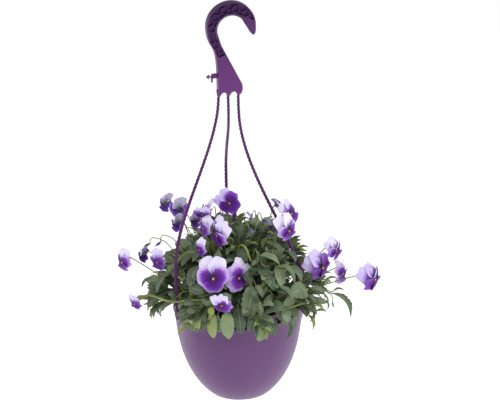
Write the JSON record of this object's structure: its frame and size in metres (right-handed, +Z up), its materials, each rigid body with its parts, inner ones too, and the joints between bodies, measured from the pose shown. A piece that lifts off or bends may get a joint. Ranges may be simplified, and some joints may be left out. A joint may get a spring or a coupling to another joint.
{
  "type": "hanging flower basket",
  "caption": "Bowl-shaped plastic hanging pot with a one-piece hook and three-strand hanger, planted with leafy horned violas in flower.",
  "frame": {"origin": "the seat of the hook, at the top of its bend's inner side, where it bears on a rail", "axes": "+Z up along the pot's axis, which passes through the seat; -Y to the front; +X to the right seen from the front"},
  "size_m": [0.4032, 0.3401, 0.6215],
  "materials": {
    "pot": "satin moulded polypropylene, plum",
    "liner": "satin moulded polypropylene, dark plum",
    "hanger": "satin moulded polypropylene, dark plum",
    "soil": "crumbly potting soil",
    "foliage": "live leaves and stems, waxy",
    "flowers": "live petals, velvety"
  },
  "bodies": {
    "root": {"flower_01": "flowers", "flower_02": "flowers", "flower_03": "flowers", "flower_04": "flowers", "flower_05": "flowers", "flower_06": "flowers", "flower_07": "flowers", "flower_08": "flowers", "flower_09": "flowers", "flower_10": "flowers", "flower_11": "flowers", "flower_12": "flowers", "flower_13": "flowers", "flower_14": "flowers", "flower_15": "flowers", "flower_16": "flowers", "flower_17": "flowers", "flower_18": "flowers", "flower_19": "flowers", "flower_20": "flowers", "flower_21": "flowers", "flower_22": "flowers", "flower_23": "flowers", "flower_24": "flowers", "flower_25": "flowers", "flower_26": "flowers", "flower_27": "flowers", "flower_28": "flowers", "flower_29": "flowers", "flower_30": "flowers", "hook": "hanger", "liner": "liner", "pot": "pot", "shoot_01": "foliage", "shoot_02": "foliage", "shoot_03": "foliage", "shoot_04": "foliage", "shoot_05": "foliage", "shoot_06": "foliage", "shoot_07": "foliage", "shoot_08": "foliage", "shoot_09": "foliage", "shoot_10": "foliage", "shoot_11": "foliage", "shoot_12": "foliage", "shoot_13": "foliage", "shoot_14": "foliage", "shoot_15": "foliage", "shoot_16": "foliage", "shoot_17": "foliage", "shoot_18": "foliage", "soil": "soil", "strand_back": "hanger", "strand_left": "hanger", "strand_right": "hanger"}
  },
  "joints": []
}
